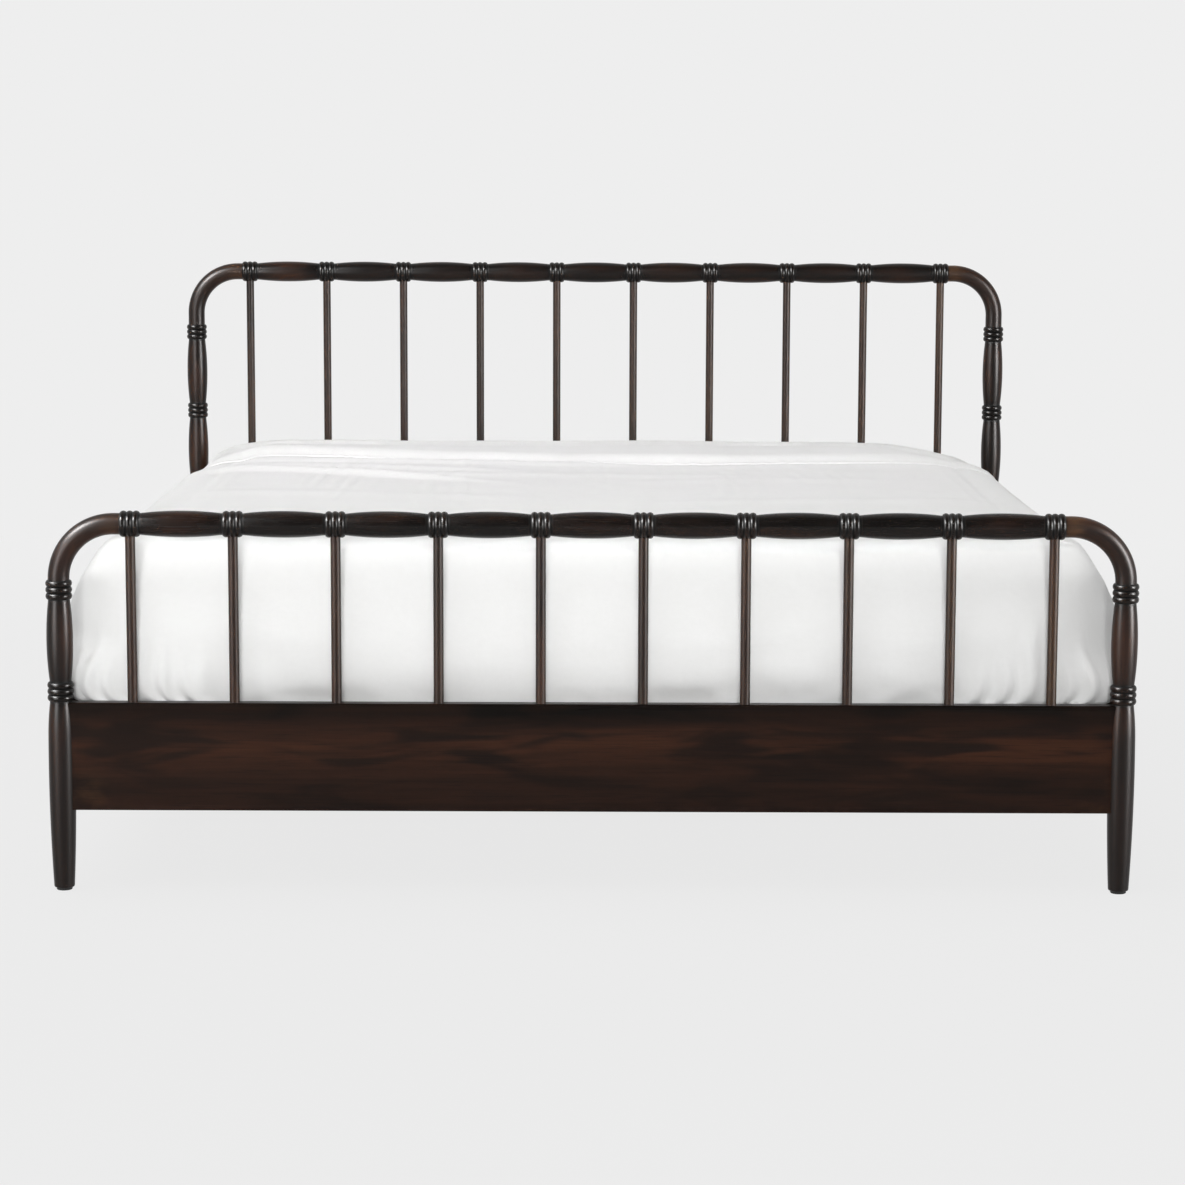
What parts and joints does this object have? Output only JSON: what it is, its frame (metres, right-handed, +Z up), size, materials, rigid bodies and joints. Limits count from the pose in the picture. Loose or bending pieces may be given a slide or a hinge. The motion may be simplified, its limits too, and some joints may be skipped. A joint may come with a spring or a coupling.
{
  "type": "spindle bed",
  "caption": "Turned wooden spindle bed with beaded posts and rails, bent corners, plank panels, hooked side rails, slats on a beam with levelling legs, mattress and folded coverlet.",
  "frame": {"origin": "on the floor under the middle of the bed, midway between the four posts", "axes": "+X to the right seen from the foot, +Y from the footboard to the headboard, +Z up"},
  "size_m": [2.0608, 2.1408, 1.125],
  "materials": {
    "stained_wood": "dark espresso stain under satin lacquer, rubbed through to a warmer brown on worn edges",
    "plain_wood": "planed and unfinished",
    "zinc_steel": "zinc plated",
    "nylon": "moulded, matt",
    "ticking": "white fitted cotton over padding",
    "coverlet_cotton": "smooth white cotton"
  },
  "bodies": {
    "frame": {"beam_hangers": "zinc_steel", "centre_beam": "plain_wood", "floor_glides": "nylon", "foot_bend_left": "stained_wood", "foot_bend_right": "stained_wood", "foot_panel": "stained_wood", "foot_post_left": "stained_wood", "foot_post_right": "stained_wood", "foot_spindle_01": "stained_wood", "foot_spindle_02": "stained_wood", "foot_spindle_03": "stained_wood", "foot_spindle_04": "stained_wood", "foot_spindle_05": "stained_wood", "foot_spindle_06": "stained_wood", "foot_spindle_07": "stained_wood", "foot_spindle_08": "stained_wood", "foot_spindle_09": "stained_wood", "foot_spindle_10": "stained_wood", "foot_top_rail": "stained_wood", "head_bend_left": "stained_wood", "head_bend_right": "stained_wood", "head_panel": "stained_wood", "head_post_left": "stained_wood", "head_post_right": "stained_wood", "head_spindle_01": "stained_wood", "head_spindle_02": "stained_wood", "head_spindle_03": "stained_wood", "head_spindle_04": "stained_wood", "head_spindle_05": "stained_wood", "head_spindle_06": "stained_wood", "head_spindle_07": "stained_wood", "head_spindle_08": "stained_wood", "head_spindle_09": "stained_wood", "head_spindle_10": "stained_wood", "head_top_rail": "stained_wood", "post_plates": "zinc_steel", "rail_hook_plates": "zinc_steel", "side_rail_left": "stained_wood", "side_rail_right": "stained_wood", "slat_01": "plain_wood", "slat_02": "plain_wood", "slat_03": "plain_wood", "slat_04": "plain_wood", "slat_05": "plain_wood", "slat_06": "plain_wood", "slat_07": "plain_wood", "slat_08": "plain_wood", "slat_09": "plain_wood", "slat_10": "plain_wood", "slat_cleat_left": "plain_wood", "slat_cleat_right": "plain_wood", "support_leg_foot": "plain_wood", "support_leg_head": "plain_wood", "wood_screws": "zinc_steel"},
    "bedding": {"mattress": "ticking", "coverlet": "coverlet_cotton"},
    "leveller_foot": {"leveller_pad_foot": "nylon", "leveller_stem_foot": "zinc_steel"},
    "leveller_head": {"leveller_pad_head": "nylon", "leveller_stem_head": "zinc_steel"}
  },
  "joints": [
    {"name": "mattress_lift", "type": "slide", "parent": "frame", "child": "bedding", "axis": [0, 0, 1], "range_m": [0, 0.86]},
    {"name": "leveller_foot_height", "type": "slide", "parent": "frame", "child": "leveller_foot", "axis": [0, 0, 1], "range_m": [-0.01, 0.01]},
    {"name": "leveller_head_height", "type": "slide", "parent": "frame", "child": "leveller_head", "axis": [0, 0, 1], "range_m": [-0.01, 0.01]}
  ]
}
